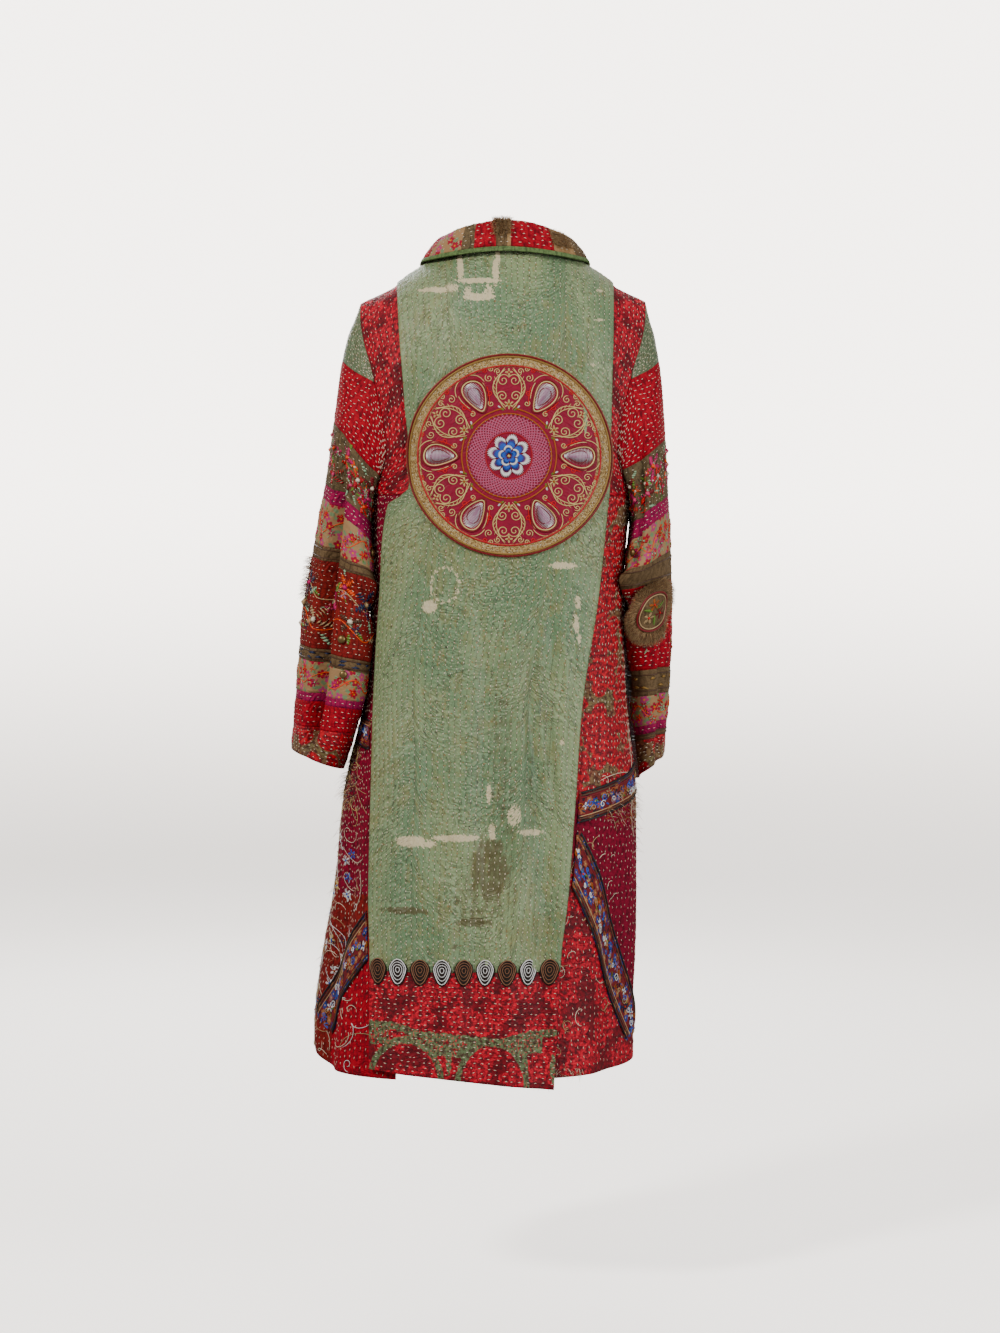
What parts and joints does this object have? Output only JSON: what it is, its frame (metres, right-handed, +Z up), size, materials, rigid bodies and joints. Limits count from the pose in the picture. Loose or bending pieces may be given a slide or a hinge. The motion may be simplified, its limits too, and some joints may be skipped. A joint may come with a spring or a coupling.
{
  "type": "patchwork coat",
  "caption": "Long open patchwork coat of old quilted silk, with a round embroidered medallion on its green back, pieced red and tan sleeves and a turned-down collar.",
  "frame": {"origin": "middle of the neck opening, where the wearer's shoulders hold the coat", "axes": "+Z up along the worn coat, its front faces -Y, the wearer's left is +X"},
  "size_m": [0.5302, 0.3463, 1.1743],
  "materials": {
    "green_silk": "matte",
    "red_silk": "matte",
    "crimson_silk": "matte",
    "olive_silk": "matte",
    "tan_silk": "matte",
    "indigo_silk": "matte",
    "medallion_embroidery": "matte",
    "leaf_patches": "matte",
    "fur": "soft",
    "worn_brass": "satin"
  },
  "bodies": {
    "root": {"back_panel": "green_silk", "sleeve_left_cap": "green_silk", "sleeve_right_cap": "green_silk", "collar_binding": "green_silk", "back_border": "red_silk", "back_strip_left": "red_silk", "back_strip_right": "red_silk", "front_left": "red_silk", "front_right": "red_silk", "sleeve_left_red_band": "red_silk", "sleeve_right_red_band": "red_silk", "sleeve_left_cuff": "red_silk", "sleeve_right_cuff": "red_silk", "side_left": "crimson_silk", "side_right": "crimson_silk", "sleeve_left_panel": "crimson_silk", "sleeve_right_panel": "crimson_silk", "sleeve_left_flower_band": "olive_silk", "sleeve_right_flower_band": "olive_silk", "sleeve_left_lower_band": "tan_silk", "sleeve_right_lower_band": "tan_silk", "collar": "tan_silk", "border_right_upper": "indigo_silk", "border_right_lower": "indigo_silk", "border_left_upper": "indigo_silk", "border_left_lower": "indigo_silk", "medallion": "medallion_embroidery", "leaf_1": "leaf_patches", "leaf_2": "leaf_patches", "leaf_3": "leaf_patches", "leaf_4": "leaf_patches", "leaf_5": "leaf_patches", "leaf_6": "leaf_patches", "leaf_7": "leaf_patches", "leaf_8": "leaf_patches", "leaf_9": "leaf_patches", "fur_patch": "fur", "button_1": "worn_brass", "button_2": "worn_brass", "button_3": "worn_brass", "button_4": "worn_brass"}
  },
  "joints": []
}
